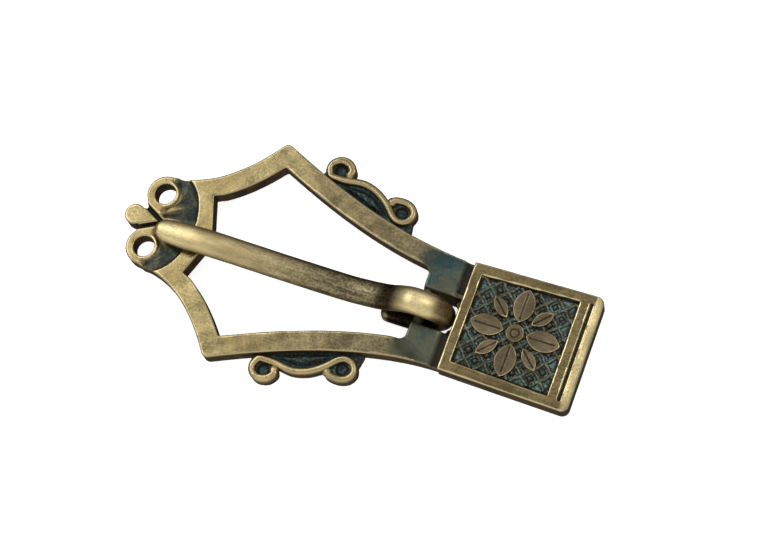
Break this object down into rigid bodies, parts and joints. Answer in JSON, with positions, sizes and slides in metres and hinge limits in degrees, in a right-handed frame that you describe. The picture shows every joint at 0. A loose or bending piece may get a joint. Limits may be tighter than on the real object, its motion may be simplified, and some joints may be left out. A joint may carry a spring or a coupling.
{
  "type": "belt buckle",
  "caption": "Openwork cast brass belt buckle: an open frame with a pierced head, an ornamented plaque, side scrolls and a swinging tongue hooked on its hinge bar.",
  "frame": {"origin": "middle of the bounding box in plan, at the height of the tongue's tail, the lowest point", "axes": "+X from the pierced head towards the plaque, +Y towards the upper scroll, +Z out of the face"},
  "size_m": [0.0736, 0.0372, 0.0081],
  "materials": {
    "frame_brass": "antiqued cast brass, worn bright on raised edges, brown on the side walls",
    "dark_brass": "recessed brass under a dark blue-green patina",
    "tongue_brass": "antiqued brass, rubbed bright on the crown and the tip"
  },
  "bodies": {
    "frame": {"head_plate": "frame_brass", "finial_bead": "frame_brass", "upper_head_arm": "frame_brass", "lower_head_arm": "frame_brass", "upper_long_arm": "frame_brass", "lower_long_arm": "frame_brass", "upper_neck_cheek": "frame_brass", "lower_neck_cheek": "frame_brass", "hinge_bar": "frame_brass", "plaque": "frame_brass", "plaque_lattice": "dark_brass", "plaque_ornament": "frame_brass", "upper_scroll_plate": "dark_brass", "lower_scroll_plate": "dark_brass", "upper_scroll_ribbon": "frame_brass", "lower_scroll_ribbon": "frame_brass"},
    "tongue": {"tongue": "tongue_brass"}
  },
  "joints": [
    {"name": "tongue_hinge", "type": "hinge", "parent": "frame", "child": "tongue", "pos_m": [0.0114, 0, 0.0031], "axis": [0, 1, 0], "range_deg": [0, 112]}
  ]
}
